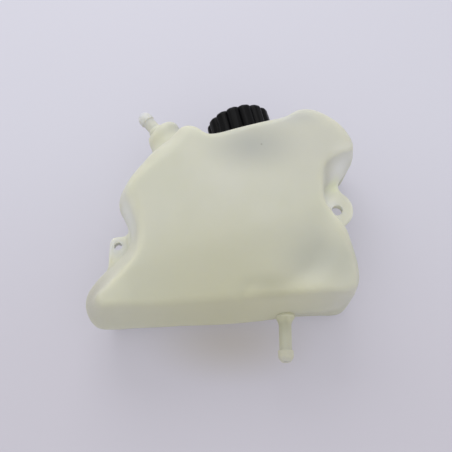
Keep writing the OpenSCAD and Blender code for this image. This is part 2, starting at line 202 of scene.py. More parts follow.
def face_depth(x, z, depth, front, late=0.0):
    """Depth of a face: the mould's depth, a dome, and on the front the relief.

    The relief is -FALL b squared / (b + CREASE_SOFT), with b the distance below the crease, and
    it fades out towards the two full corners, which start to rise late mm further out."""
    dome_x, dome_z = (x - DOME_AT[0]) / DOME_R[0], (z - DOME_AT[1]) / DOME_R[1]
    dome = DOME_H * np.maximum(0, 1 - dome_x**2 - dome_z**2)
    if not front:
        return depth + dome
    crease_z = CREASE_AT[1] + math.tan(CREASE_SLANT) * (x - CREASE_AT[0])
    below = np.maximum(0, (crease_z - z) * math.cos(CREASE_SLANT) + CREASE_SOFT / 2)
    across = np.maximum(0, x - RIGHT_CORNER[0])
    down = np.maximum(0, RIGHT_CORNER[1] - z) * smooth_step(*RIGHT_FADE, x)
    right = smooth_step(RIGHT_RISE[0] + late, RIGHT_RISE[1] + late, np.hypot(across, down))
    left = smooth_step(LEFT_RISE[0] - late, LEFT_RISE[1] - late, x)
    return depth + dome - FALL * below**2 / (below + CREASE_SOFT) * (1 - right) * (1 - left)


edge_depth = face_depth(*FACE_EDGE.T, FRONT_DEPTH, True)
print("front edge is", round(edge_depth.min(), 1), "to", round(edge_depth.max(), 1), "mm deep")

# %% Rings of the blown body
MIDDLE, MIDDLE_R, FIRST_ANGLE = np.array([-92.0, 5.0]), np.array([48.0, 42.0]), 107


def half_rings(line, edge, round_r, depth, front, counts, late=0.0):
    """Rings from the parting line up the side, over the rounded edge and to the face's middle.

    The side is straight, the edge a parabola from r before the corner to r past it, and the
    face runs towards an ellipse round the middle and on to the middle. The ellipse starts at
    an angle near that of the outline's first point."""
    side, bend, face = counts
    n = len(line)
    angle = np.radians(FIRST_ANGLE - 360 * np.arange(n) / n)
    target = MIDDLE + MIDDLE_R * np.stack([np.cos(angle), np.sin(angle)], -1)

    def at(xz):
        x, z = xz[..., 0], xz[..., 1]
        return np.stack([x, face_depth(x, z, depth, front, late), z], -1)

    apex, foot = at(edge), np.stack([line[:, 0], np.zeros(n), line[:, 1]], -1)
    r = round_r[:, None]
    start = apex + (foot - apex) * r / np.linalg.norm(foot - apex, axis=1, keepdims=True)
    flat = edge + (target - edge) * r / np.linalg.norm(target - edge, axis=1, keepdims=True)
    t = np.linspace(0, 1, side, endpoint=False)[:, None, None]
    up = foot + (start - foot) * t
    t = np.linspace(0, 1, bend, endpoint=False)[:, None, None]
    over = start * (1 - t) ** 2 + apex * 2 * t * (1 - t) + at(flat) * t**2
    t = np.linspace(0, 1, face, endpoint=False)[:, None, None]
    across = np.where(t < 0.5, flat + (target - flat) * 2 * t, target + (MIDDLE - target) * (2 * t - 1))
    rings = np.concatenate([up, over, at(across)])
    if front:
        rings[..., 1] *= -1
    return rings, at(MIDDLE) * ([1, -1, 1] if front else [1, 1, 1])


def blown(name, line, edge, round_r, front, back, counts, late=0.0):
    """The two halves as one row of rings, from the middle of the front to that of the back."""
    front_rings, front_pole = half_rings(line, edge, round_r, front, True, counts, late)
    back_rings, back_pole = half_rings(line, edge, round_r, back, False, counts, late)
    return solid(name, np.concatenate([front_rings[::-1], back_rings[1:]]), front_pole, back_pole)


tank = blown(
    "expansion_tank", PARTING_LINE, FACE_EDGE, EDGE_ROUND, FRONT_DEPTH, BACK_DEPTH, (10, 10, 36))
print("blown body:", len(tank.data.vertices), "points")

# %% [markdown]
# ## What is moulded on
# The boss behind the upper spigot and the two lugs are blown or welded with the body, so no
# sharp line parts them from it. Joining the solids, turning the result into an even net of
# small quads and relaxing that net gives the soft fillets of the real mould. The net relaxes
# more where the boss and the lugs leave the body.

# %% Turned forms
def leaned(points, at, lean):
    """Points given about Z, leaned to the left by an angle in radians and put at a place.

    That is a turn about Y: x becomes x cos - z sin, and z becomes x sin + z cos."""
    x, y, z = points[..., 0], points[..., 1], points[..., 2]
    c, s = math.cos(lean), math.sin(lean)
    return np.stack([x * c - z * s, y, x * s + z * c], -1) + at


def turned(profile, n=96):
    """Rings of a turned form: each (radius, height) of the profile carried round Z."""
    a = np.radians(360 * np.arange(n) / n)
    r, h = np.array(profile, float).T
    return np.stack([r[:, None] * np.cos(a), r[:, None] * np.sin(a), np.repeat(h[:, None], n, 1)], -1)


def turned_solid(name, profile, at, lean, n=96):
    """A turned form with solid ends, leaned and put in its place."""
    rings = turned(profile, n)
    ends = leaned(np.array([[0, 0, profile[0][1]], [0, 0, profile[-1][1]]]), at, lean)
    return solid(name, leaned(rings, at, lean), *ends)


# %% Boss
VENT_AT, VENT_LEAN = np.array([-171.4, 0, 85.6]), math.radians(40)
BOSS_R, BOSS_ROUND, BOSS_TOP, BOSS_FOOT = 15.5, 7.5, -2.5, -46.5
SIDE_FOOT = [(15, -40), (15, -1), (14, 0)]
SIDE_FOOT_AT, SIDE_FOOT_LEAN = np.array([-163.8, 0, 80]), math.radians(15)


def boss_profile(inset):
    """The boss from its foot to its top over a quarter circle, all moved in by a distance."""
    r, top, bend = BOSS_R - inset, BOSS_TOP - inset, BOSS_ROUND - inset
    quarter = np.radians(np.linspace(0, 90, 12))
    over = [(r - bend + bend * math.cos(a), top - bend + bend * math.sin(a)) for a in quarter]
    return [(r, BOSS_FOOT)] + over


boss_at = leaned(np.array([4.0, 0, 0]), VENT_AT, VENT_LEAN)
boss = turned_solid("boss", boss_profile(0), boss_at, VENT_LEAN, 72)
foot = turned_solid("boss_foot", SIDE_FOOT, SIDE_FOOT_AT, SIDE_FOOT_LEAN, 72)
print("boss stands at", boss_at.round(1))

# %% Lugs
LUG_THICK, RIGHT_HOLE, LEFT_HOLE = 8, (0, 0), (-201, -35.5)
RIM = ((0, 0.9), (0.6, 0.25), (1.6, 0))


def moved_in(points, distance):
    """A clockwise outline moved inward, square to the chord between each point's neighbours."""
    chord = np.roll(points, -1, 0) - np.roll(points, 1, 0)
    chord /= np.linalg.norm(chord, axis=1, keepdims=True)
    return points + distance * np.stack([chord[:, 1], -chord[:, 0]], -1)


def plate(name, outline):
    """A lug in the parting plane: one outline at several depths, further in near both faces.

    RIM gives the depth below a face and how far in the outline is there."""
    half, rings = LUG_THICK / 2, []
    for y, inset in [(d - half, i) for d, i in RIM] + [(half - d, i) for d, i in RIM[::-1]]:
        x, z = moved_in(outline, inset).T
        rings.append(np.stack([x, np.full(len(x), y), z], -1))
    x, z = outline.mean(0)
    return solid(name, np.array(rings), [x, -half, z], [x, half, z])


def arc(centre, r, start, end, n):
    """Points on a circle in the parting plane, clockwise from one angle to another."""
    a = np.radians(np.linspace(start, end, n))
    return np.stack([centre[0] + r * np.cos(a), centre[1] + r * np.sin(a)], -1)


right_root = [(6, -28), (-16, -18), (-24, 6), (-18, 28), (1, 28), (3, 24)]
left_root = [(-184, -24), (-184, -42), (-196, -58), (-209.5, -56)]
right_lug = plate("right_lug", np.concatenate([arc((-1, 2.5), 18.5, 68, -62, 40), right_root]))
left_lug = plate("left_lug", np.concatenate([left_root, arc((-200.5, -33), 9, 180, 90, 16)]))
for piece in (boss, foot, right_lug, left_lug):
    combine(tank, piece, "UNION")
print("joined:", len(tank.data.polygons), "faces")

# %% Even net and soft fillets
NET_SIZE, PULL = 1.6, 0.6
remesh = tank.modifiers.new("even net", "REMESH")
remesh.mode, remesh.voxel_size, remesh.adaptivity = "VOXEL", NET_SIZE * MM, 0
settle(tank)


def relax(obj, weight, rounds):
    """Move each point towards the mean of its neighbours, by PULL times its weight, in rounds."""
    mesh = obj.data
    n = len(mesh.vertices)
    co, edges = np.empty(n * 3), np.empty(len(mesh.edges) * 2, int)
    mesh.vertices.foreach_get("co", co)
    mesh.edges.foreach_get("vertices", edges)
    co, (a, b) = co.reshape(n, 3), edges.reshape(-1, 2).T
    count = np.bincount(np.concatenate([a, b]), minlength=n)[:, None]
    w = weight(co / MM)[:, None] * PULL
    for _ in range(rounds):
        total = np.stack([np.bincount(a, co[b, k], n) + np.bincount(b, co[a, k], n) for k in range(3)], -1)
        co += w * (total / count - co)
    mesh.vertices.foreach_set("co", co.ravel())
    mesh.update()


def near_boss(p):
    """1 around the foot of the boss, and 0 at its top and further out.

    It is a bell curve of the distance from the boss's axis, highest at 18 mm, times a smooth
    step down the axis."""
    from_boss = p - boss_at
    axis = np.array([-math.sin(VENT_LEAN), 0, math.cos(VENT_LEAN)])
    up = from_boss @ axis
    radius = np.linalg.norm(from_boss - up[:, None] * axis, axis=1)
    return np.exp(-((radius - 18) / 7) ** 2) * smooth_step(-10, -20, up)


def near_lugs(p):
    """1 where a lug leaves the body, and 0 some way off.

    For each lug it is a smooth step up and one down with the distance from its hole, times a
    smooth step down with the distance from the parting plane."""
    flat = smooth_step(9, 5, np.abs(p[:, 1]))
    right = np.hypot(p[:, 0] - RIGHT_HOLE[0], p[:, 2] - RIGHT_HOLE[1])
    right_w = flat * smooth_step(14, 18, right) * smooth_step(34, 28, right)
    left = np.hypot(p[:, 0] - LEFT_HOLE[0], p[:, 2] - LEFT_HOLE[1])
    left_w = flat * smooth_step(9, 12, left) * smooth_step(34, 26, left) * (p[:, 0] > -206)
    return np.clip(right_w + left_w, 0, 1)


relax(tank, lambda p: np.ones(len(p)), 8)
relax(tank, near_boss, 150)
relax(tank, near_lugs, 40)
print("even net:", len(tank.data.polygons), "faces")

# %% [markdown]
# ## Neck and spigots
# These were cut or moulded to size, so they stay crisp: they are joined after the net is
# relaxed. The neck's thread is a height over the cylinder. At each angle the two ridges lie
# on lines that climb 8 mm a turn, and a ridge is as high as its trapezium section says.

# %% Threaded neck
NECK_AT, NECK_LEAN = np.array([-85.0, 0, 69.5]), math.radians(14)
NECK_R, BORE_R, NECK_FOOT, NECK_H = 21.5, 18.0, -14.0, 22.0
LEAD, THREAD_Z, FADE = 8.0, 6, 1 / 12
RIDGE_H, HALF_ROOT, HALF_TIP = 1.8, 0.95, 0.45


def ridge_height(angle, z, first, turns):
    """Height of a two-start thread: full within HALF_TIP of a ridge's line, 0 past HALF_ROOT.

    The angle is in turns. A ridge's line is THREAD_Z + LEAD times the turns from its start, and
    the ridge fades in and out over FADE turns."""
    height = np.zeros(np.broadcast(angle, z).shape)
    for start in (first, first + 0.5):
        for lap in (-1, 0, 1, 2):
            turn = angle - start + lap
            off = np.abs(z - (THREAD_Z + LEAD * turn))
            ends = smooth_step(0, FADE, turn) * smooth_step(turns, turns - FADE, turn)
            section = np.clip((HALF_ROOT - off) / (HALF_ROOT - HALF_TIP), 0, 1)
            height = np.maximum(height, RIDGE_H * ends * section)
    return height


turn = np.arange(180)[None, :] / 180
z = np.concatenate([[NECK_FOOT, 0], np.linspace(1, NECK_H - 0.6, 90), [NECK_H - 0.2, NECK_H]])[:, None]
r = NECK_R + ridge_height(turn, z, 0.0, 1.25)
for ring, inset in ((-2, 0.12), (-1, 0.45)):
    r[ring] -= inset
a = 2 * np.pi * turn
neck_rings = leaned(np.stack([r * np.cos(a), r * np.sin(a), z + 0 * a], -1), NECK_AT, NECK_LEAN)
neck_ends = leaned(np.array([[0, 0, NECK_FOOT], [0, 0, NECK_H]]), NECK_AT, NECK_LEAN)
neck = solid("neck", neck_rings, *neck_ends)
print("neck:", len(neck.data.polygons), "faces")

# %% Hose spigots
SPIGOT_BORE, TIP_WALL, ROOT_SUNK = 3.5, 0.6, 6
BARB_BACK, BARB_LAND = 10, 4
VENT_LENGTH, OUTLET_LENGTH = 21.5, 39.5
OUTLET_AT, OUTLET_LEAN = np.array([-51.0, 0, -101]), math.pi


def spigot_profile(r, barb_r, length, flare_r, flare_h):
    """A flare that thins as (1 - t) squared, a tube, and a barb with a land and a falling tip.

    The tip falls as t squared, down to a thin wall round the bore."""
    back = length - BARB_BACK
    land = back + BARB_LAND
    t = np.linspace(0, 1, 12)
    flare = [(r + flare_r * (1 - k) ** 2, flare_h * k) for k in t]
    rise = [(r, back - 0.3), (r + 0.15, back), (barb_r - 0.35, back + 0.05), (barb_r, back + 0.4)]
    fall = barb_r - SPIGOT_BORE - TIP_WALL
    tip = [(barb_r - fall * k * k, land + (length - land) * k) for k in t]
    return [(r + flare_r, -ROOT_SUNK)] + flare + rise + tip


vent_profile = spigot_profile(6, 7, VENT_LENGTH, 1.5, 2)
outlet_profile = spigot_profile(5.5, 6.75, OUTLET_LENGTH, 3.5, 8)
vent = turned_solid("vent_spigot", vent_profile, VENT_AT, VENT_LEAN)
outlet = turned_solid("outlet_spigot", outlet_profile, OUTLET_AT, OUTLET_LEAN)
for piece in (neck, vent, outlet):
    combine(tank, piece, "UNION")
print("with neck and spigots:", len(tank.data.polygons), "faces")

# %% [markdown]
# ## The hollow inside
# The tank is a wall about 3 mm thick, so the neck opens on a real hollow when the cap is off.
# The cavity is the same blown form, drawn more coarsely from the two outlines moved inward,
# and its corners rise later than those outside, so that the wall stays whole.

# %% Cavity and bores
CHORD_ROOM, LATE = 0.5, 10.0
BORE_PAST, HOLE_PAST, HOLE_STRAIGHT, HOLE_FLARE = 1, 1, 3.3, 0.7
edge_in, line_in, round_in = outlines(2)
cavity = blown(
    "cavity", moved_in(line_in, WALL + CHORD_ROOM), moved_in(edge_in, WALL + CHORD_ROOM),
    np.maximum(3, round_in - WALL / 2), FRONT_DEPTH - WALL, BACK_DEPTH - WALL, (4, 6, 14), LATE)
neck_profile = [
    (BORE_R, NECK_FOOT), (BORE_R, NECK_H - 0.5),
    (BORE_R + 0.4, NECK_H), (BORE_R + 0.4, NECK_H + BORE_PAST)]
vent_inside, outlet_inside = (
    [(SPIGOT_BORE, -9), (SPIGOT_BORE, length + BORE_PAST)] for length in (VENT_LENGTH, OUTLET_LENGTH))
cuts = [
    cavity,
    turned_solid("boss_hollow", boss_profile(WALL), boss_at, VENT_LEAN, 72),
    turned_solid("neck_bore", neck_profile, NECK_AT, NECK_LEAN),
    turned_solid("vent_bore", vent_inside, VENT_AT, VENT_LEAN, 48),
    turned_solid("outlet_bore", outlet_inside, OUTLET_AT, OUTLET_LEAN, 48)]
for (x, z), r in ((RIGHT_HOLE, 5.0), (LEFT_HOLE, 3.5)):
    end, mouth = LUG_THICK / 2 + HOLE_PAST, r + HOLE_FLARE
    bore = ([mouth, -end], [r, -HOLE_STRAIGHT], [r, HOLE_STRAIGHT], [mouth, end])
    hole = turned(bore, 64)[..., [0, 2, 1]] + [x, 0, z]
    cuts.append(solid("lug_hole", hole, [x, -end, z], [x, end, z]))
for piece in cuts:
    combine(tank, piece, "DIFFERENCE")
smooth_by_angle(tank, 32)
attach(tank, "tank")
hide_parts("tank_body")
print("tank:", sum(len(face.vertices) - 2 for face in tank.data.polygons), "triangles")

# %% [markdown]
# ## The screw cap
# The cap is one moulding. Its outside has fourteen round grip lobes, and its inside has the
# thread and a ring that holds the valve. Both change with the angle only in how far out they
# stand, so the whole cap is one profile carried round its axis, with a radius that depends on
# the angle where the lobes and the thread are.

# %% Cap shell
CAP_R, CAP_TOP, CAP_ROUND = 30.5, 28.8, 4.0
CAP_FOOT, CAP_BORE, CAP_ROOF = 2.5, 23.75, 26.2
LOBES, LOBE_R, LOBE_STEPS = 14, 7.0, 36
VALVE_RING = (
    (16.6, CAP_ROOF), (16, 25.7), (16, 24.3), (17.0, 24.1), (17.2, 23.9), (17.0, 23.3), (16.8, 23.2),
    (13.8, 23.2), (13.6, 23.4), (13.6, 25.8), (13.2, CAP_ROOF), (6, CAP_ROOF))
turn = np.arange(LOBES * LOBE_STEPS)[None, :] / (LOBES * LOBE_STEPS)
angle = 2 * np.pi * turn


def lobed_radius():
    """How far out the grip stands at each angle from a lobe's middle.

    A lobe is a circle round a centre near the rim: centre cos a + root(r squared - (centre
    sin a) squared), cut off at the cap's radius."""
    a = np.radians(360 / LOBES) * ((turn * LOBES + 0.5) % 1 - 0.5)
    centre = CAP_R + 0.3 - LOBE_R
    lobe = centre * np.cos(a) + np.sqrt(LOBE_R**2 - (centre * np.sin(a)) ** 2)
    return np.minimum(lobe, CAP_R)


def cap_rows():
    """Rows of (radius, height) down the outside, up the bore and round the valve's ring."""
    lobed = lobed_radius()
    flat = 0 * lobed
    rows = [(flat + r, flat + CAP_TOP - 0.3 * (r / 20) ** 2) for r in (6, 12, 16, 20)]
    for t in np.radians(np.linspace(90, 0, 12)):
        inset, drop = CAP_ROUND * (1 - math.cos(t)), CAP_ROUND * (1 - math.sin(t))
        rows.append((lobed - inset, flat + CAP_TOP - 0.4 - drop))
    rows += [(lobed, flat + h) for h in np.linspace(24, 3.4, 18)]
    rows += [(lobed - inset, flat + h) for inset, h in ((0.12, 2.9), (0.5, 2.55), (1.0, CAP_FOOT))]
    rows += [(flat + 24.3, flat + CAP_FOOT), (flat + 23.85, flat + 2.7)]
    for h in np.linspace(3.2, 15.5, 90):
        rows.append((CAP_BORE - ridge_height(turn, flat + h, 0.25, 1.0), flat + h))
    roof_edge = ((CAP_BORE, 17), (CAP_BORE, 25.6), (23.2, CAP_ROOF))
    return rows + [(flat + r, flat + h) for r, h in roof_edge + VALVE_RING]


rows = cap_rows()
radius, height = (np.stack([row[k][0] for row in rows]) for k in (0, 1))
cap_rings = np.stack([radius * np.cos(angle), radius * np.sin(angle), height], -1)
cap_ends = leaned(np.array([[0, 0, CAP_TOP], [0, 0, CAP_ROOF]]), NECK_AT, NECK_LEAN)
cap = solid("screw_cap", leaned(cap_rings, NECK_AT, NECK_LEAN), *cap_ends)
smooth_by_angle(cap, 30)
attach(cap, "cap")
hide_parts("cap_shell")
print("cap:", len(cap.data.polygons), "faces")

# %% [markdown]
# ## The valve's springs
# A spring is a circle carried along a helix. Its first and last half turn lie closer together,
# as on a real spring with closed ends. Each spring stands on one body and is pressed by
# another; here it rides with the body it is attached to.

# %% Springs
# Heights along the neck, from NECK_AT, of the seats that the springs stand and press on
PLUNGER_TOP, COVER_FOOT, CLIP_FOOT = 1.0, 20.5, 7.0


def coil(name, mean_r, wire, low, high, turns):
    """A round wire along a helix between two heights.

    With t from 0 to 1 along the wire, it climbs as t - 0.06 sin(2 pi t), which is flatter at
    both ends, and a circle of the wire's radius is carried along."""
    steps, sides = int(turns * 48), 16
    t = np.linspace(0, 1, steps)
    climb = t - 0.06 * np.sin(2 * np.pi * t)
    a = 2 * np.pi * turns * t
    side = np.radians(360 * np.arange(sides) / sides)
    r = mean_r + wire / 2 * np.cos(side)[None, :]
    h = low + wire / 2 + (high - low - wire) * climb[:, None] + wire / 2 * np.sin(side)[None, :]
    rings = np.stack([r * np.cos(a)[:, None], r * np.sin(a)[:, None], h], -1)
    middles = [[mean_r * math.cos(a[k]), mean_r * math.sin(a[k]), h[k].mean()] for k in (0, -1)]
    made = solid(name, leaned(rings, NECK_AT, NECK_LEAN), *leaned(np.array(middles), NECK_AT, NECK_LEAN))
    smooth_by_angle(made, 50)
    return made


def pressed(made):
    """Give a spring its own copy of its mesh."""
    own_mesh(made)


relief_spring = coil("relief_coil", mean_r=10, wire=1.5, low=PLUNGER_TOP, high=COVER_FOOT, turns=4)
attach(relief_spring, "barrel")
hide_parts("relief_spring")
pressed(relief_spring)
vacuum_spring = coil("vacuum_coil", mean_r=3.4, wire=0.6, low=PLUNGER_TOP, high=CLIP_FOOT, turns=4)
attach(vacuum_spring, "plunger")
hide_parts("vacuum_spring")
pressed(vacuum_spring)

# %% [markdown]
# ## Finishes
# Two effects are used in more than one material, so each is a node group: the fine grain of a
# mould and slow blotches of tone. They put out values and normals only, and each material
# mixes them in its own strength.

# %% Node groups
def new_group(name, inputs, outputs):
    """An empty shader node group with named sockets: (kind, name, value) in and (kind, name) out."""
    group = bpy.data.node_groups.new(name, "ShaderNodeTree")
    for kind, label, value in inputs:
        socket = group.interface.new_socket(name=label, in_out="INPUT", socket_type=kind)
        socket.default_value = value
    for kind, label in outputs:
        group.interface.new_socket(name=label, in_out="OUTPUT", socket_type=kind)
    return group, group.nodes.new("NodeGroupInput"), group.nodes.new("NodeGroupOutput")


def noise(tree, scale, detail):
    """A noise texture on Object coordinates, in metres."""
    made = tree.nodes.new("ShaderNodeTexNoise")
    made.inputs["Scale"].default_value = scale
    made.inputs["Detail"].default_value = detail
    tree.links.new(tree.nodes.new("ShaderNodeTexCoord").outputs["Object"], made.inputs["Vector"])
    return made


def mould_grain():
    """Fine bumps that a mould leaves: noise as the height of a bump."""
    group, given, out = new_group(
        "mould grain", [("NodeSocketFloat", "Scale", 900.0), ("NodeSocketFloat", "Depth", 0.1)],
        [("NodeSocketFloat", "Grain"), ("NodeSocketVector", "Normal")])
    fine = noise(group, 900, 4)
    bump = group.nodes.new("ShaderNodeBump")
    bump.inputs["Distance"].default_value = 0.0004
    group.links.new(given.outputs["Scale"], fine.inputs["Scale"])
    group.links.new(given.outputs["Depth"], bump.inputs["Strength"])
    group.links.new(fine.outputs["Fac"], bump.inputs["Height"])
    group.links.new(fine.outputs["Fac"], out.inputs["Grain"])
    group.links.new(bump.outputs["Normal"], out.inputs["Normal"])
    return group


def blotches():
    """Slow change of tone: coarse noise, stretched to the whole range from 0 to 1."""
    group, given, out = new_group(
        "blotches", [("NodeSocketFloat", "Scale", 14.0)], [("NodeSocketFloat", "Tone")])
    slow = noise(group, 14, 3)
    spread = group.nodes.new("ShaderNodeMapRange")
    spread.inputs["From Min"].default_value, spread.inputs["From Max"].default_value = 0.3, 0.7
    group.links.new(given.outputs["Scale"], slow.inputs["Scale"])
    group.links.new(slow.outputs["Fac"], spread.inputs["Value"])
    group.links.new(spread.outputs["Result"], out.inputs["Tone"])
    return group


GRAIN, BLOTCHES = mould_grain(), blotches()
print("groups:", GRAIN.name, BLOTCHES.name)

# %% Material helpers
def linear(colour):
    """A colour from 0 to 255 as it shows on a screen, made linear for the shader."""
    c = np.array(colour) / 255
    return (*np.where(c <= 0.04045, c / 12.92, ((c + 0.055) / 1.055) ** 2.4), 1.0)


def new_material(name, roughness, **sockets):
    """A material with its Principled shader; each named socket gets its value on the shader."""
    material = bpy.data.materials.new(name)
    material.use_nodes = True
    shader = material.node_tree.nodes["Principled BSDF"]
    shader.inputs["Roughness"].default_value = roughness
    for label, value in sockets.items():
        shader.inputs[label.replace("_", " ")].default_value = value
    return material, material.node_tree, shader


def placed(tree, group, **values):
    """A node group placed in a material with its own values."""
    node = tree.nodes.new("ShaderNodeGroup")
    node.node_tree = group
    for label, value in values.items():
        node.inputs[label].default_value = value
    return node


def mixed(tree, a, b, factor):
    """A mix of two colours, each a colour or a socket, by a factor socket.

    A Mix node has its sockets four times, once for each kind; the colours are the third set."""
    mix = tree.nodes.new("ShaderNodeMix")
    mix.data_type = "RGBA"
    for socket, value in ((mix.inputs[6], a), (mix.inputs[7], b)):
        if isinstance(value, tuple):
            socket.default_value = value
        else:
            tree.links.new(value, socket)
    tree.links.new(factor, mix.inputs[0])
    return mix.outputs[2]


def ranged(tree, value, low, high, out_low=0.0, out_high=1.0):
    """A value mapped from one range to another, with a smooth step."""
    node = tree.nodes.new("ShaderNodeMapRange")
    node.interpolation_type = "SMOOTHSTEP"
    for label, number in (("From Min", low), ("From Max", high), ("To Min", out_low), ("To Max", out_high)):
        node.inputs[label].default_value = number
    tree.links.new(value, node.inputs["Value"])
    return node.outputs["Result"]


def along(tree, axis):
    """One of the Object coordinates, in metres."""
    split = tree.nodes.new("ShaderNodeSeparateXYZ")
    tree.links.new(tree.nodes.new("ShaderNodeTexCoord").outputs["Object"], split.inputs["Vector"])
    return split.outputs[axis]


def near(tree, at, reach):
    """1 at a point, and 0 past an ellipsoid whose half axes are its reach, in metres.

    It is a smooth step of the length of (place - at) / reach."""
    shift = tree.nodes.new("ShaderNodeVectorMath")
    shift.operation = "SUBTRACT"
    shift.inputs[1].default_value = at
    squash = tree.nodes.new("ShaderNodeVectorMath")
    squash.operation = "DIVIDE"
    squash.inputs[1].default_value = reach
    length = tree.nodes.new("ShaderNodeVectorMath")
    length.operation = "LENGTH"
    tree.links.new(tree.nodes.new("ShaderNodeTexCoord").outputs["Object"], shift.inputs[0])
    tree.links.new(shift.outputs["Vector"], squash.inputs[0])
    tree.links.new(squash.outputs["Vector"], length.inputs[0])
    return ranged(tree, length.outputs["Value"], 1.0, 0.0)


# %% [markdown]
# ## Milky plastic
# The wall lets some light in and scatters it, so the tank looks soft and its shadows stay
# pale. Subsurface scattering does that. The tone wanders slowly, and it is a little yellower
# where the wall is thick, at the lower spigot and at the right lug, and the bottom half is a
# little yellower too. Painted shade makes the face greyer under the cap, where the dark cap and
# its valve keep light from the wall, and darker over the bottom half, on the full corner at the
# lower right, where it dulls a highlight, along the lower edge of the front and at the left end's
# lower part. Painted light makes thin places paler, as light passes through them from two
# sides: the lugs, the waist at the left and the pocket's side. Each such place is a soft spot in
# Object coordinates, and the spots are mixed over the tone one after another.

# %% Tank material
# Each soft spot, a tint, painted light or painted shade: its middle and its reach in metres, and its colour
TINT_AND_PAINTED_LIGHT_SPOTS = {
    # Bottom half: the plastic's own yellower tint, with painted shade that makes it darker
    "lower half, tint and painted shade": ((-0.105, 0, -0.095), (0.125, 0.2, 0.118), (197, 195, 168)),
    "upper right": ((-0.025, -0.04, 0.05), (0.08, 0.06, 0.06), (200, 199, 184)),
    # Painted light: the shaded side of the pocket made paler
    "painted light in the pocket": ((0.004, -0.02, 0.036), (0.026, 0.036, 0.026), (240, 240, 227)),
    # Painted shade: greyer under the cap, where the cap keeps light from the wall
    "painted shade below the cap": ((-0.080, -0.046, 0.047), (0.056, 0.03, 0.036), (178, 179, 170)),
    # Painted shade: dulls the highlight on the full corner at the lower right
    "full corner": ((-0.016, -0.046, -0.06), (0.056, 0.034, 0.04), (182, 183, 170)),
    # Painted shade: a darker strip along the lower edge of the front
    "painted shade on the front's lower edge": ((-0.064, -0.043, -0.084), (0.042, 0.024, 0.016), (176, 175, 153)),
    "top crest": ((-0.045, -0.036, 0.080), (0.04, 0.04, 0.02), (190, 191, 184)),
    # Painted light: the thin waist at the left made paler
    "painted light on the left waist": ((-0.192, -0.02, -0.014), (0.02, 0.034, 0.04), (226, 227, 214)),
    # Painted shade: the left end's lower part made darker
    "painted shade on the lower left end": ((-0.222, -0.02, -0.084), (0.034, 0.044, 0.048), (180, 178, 162)),
    "lower spigot's root": ((-0.051, 0, -0.106), (0.016, 0.02, 0.014), (194, 193, 166)),
    "lower spigot's tip": ((-0.051, 0, -0.137), (0.014, 0.02, 0.014), (184, 182, 170)),
    # Top of the lug at the right: the yellower tint of thick plastic, with painted light
    "right lug's top, tint and painted light": ((-0.004, -0.004, 0.024), (0.016, 0.02, 0.014), (236, 240, 204)),
    # Painted light: lifts the shadow that the body's side casts where the lug at the right leaves it
    "painted light on the right lug's root": ((-0.004, -0.004, 0.004), (0.018, 0.02, 0.024), (255, 255, 248)),
    "speck of the mould": ((-0.071, -0.046, 0.047), (0.0014, 0.02, 0.0014), (150, 148, 136)),
    "upper spigot": ((-0.183, 0, 0.1), (0.02, 0.02, 0.02), (198, 199, 202)),
    # Painted light: light through the thin lug at the left, in a bluer tone
    "left lug": ((-0.203, 0, -0.036), (0.015, 0.02, 0.018), (201, 203, 204)),
    # Painted light: the thin end of the lug at the right made paler
    "painted light on the right lug's end": ((0.006, 0, -0.002), (0.02, 0.02, 0.026), (220, 221, 211))}
milky, tree, shader = new_material(
    "milky plastic", 0.42, Subsurface_Weight=0.8, Subsurface_Scale=0.012, Specular_IOR_Level=0.35)
shader.inputs["Subsurface Radius"].default_value = (1.0, 0.95, 0.75)
tone = placed(tree, BLOTCHES, Scale=13.0)
pale = mixed(tree, linear((208, 207, 190)), linear((201, 201, 180)), tone.outputs["Tone"])
for at, reach, colour in TINT_AND_PAINTED_LIGHT_SPOTS.values():
    pale = mixed(tree, pale, linear(colour), near(tree, at, reach))
tree.links.new(pale, shader.inputs["Base Color"])
grain = placed(tree, GRAIN, Scale=420.0, Depth=0.05)
tree.links.new(grain.outputs["Normal"], shader.inputs["Normal"])
tree.links.new(ranged(tree, grain.outputs["Grain"], 0.3, 0.7, 0.38, 0.48), shader.inputs["Roughness"])
tank.data.materials.clear()
tank.data.materials.append(milky)
print("tank material:", len(TINT_AND_PAINTED_LIGHT_SPOTS), "soft spots")

# %% [markdown]
# ## Black cap and the valve's materials
# The cap is a satin black nylon with a fine grain. The valve under it has dark and white
# plastics, rubber, spring steel and brass, and apart from its springs it keeps the frame's own
# shapes.

# %% Other materials
def plain_material(name, dark, light, roughness, scale, depth, **sockets):
    """A material between two close tones, with the mould's grain in its gloss and normal."""
    material, tree, shader = new_material(name, roughness, **sockets)
    tone = placed(tree, BLOTCHES, Scale=scale / 8)
    base = mixed(tree, linear(dark), linear(light), tone.outputs["Tone"])
    tree.links.new(base, shader.inputs["Base Color"])
    grain = placed(tree, GRAIN, Scale=scale, Depth=depth)
    tree.links.new(grain.outputs["Normal"], shader.inputs["Normal"])
    gloss = ranged(tree, grain.outputs["Grain"], 0.3, 0.7, roughness - 0.06, roughness + 0.06)
    tree.links.new(gloss, shader.inputs["Roughness"])
    return material


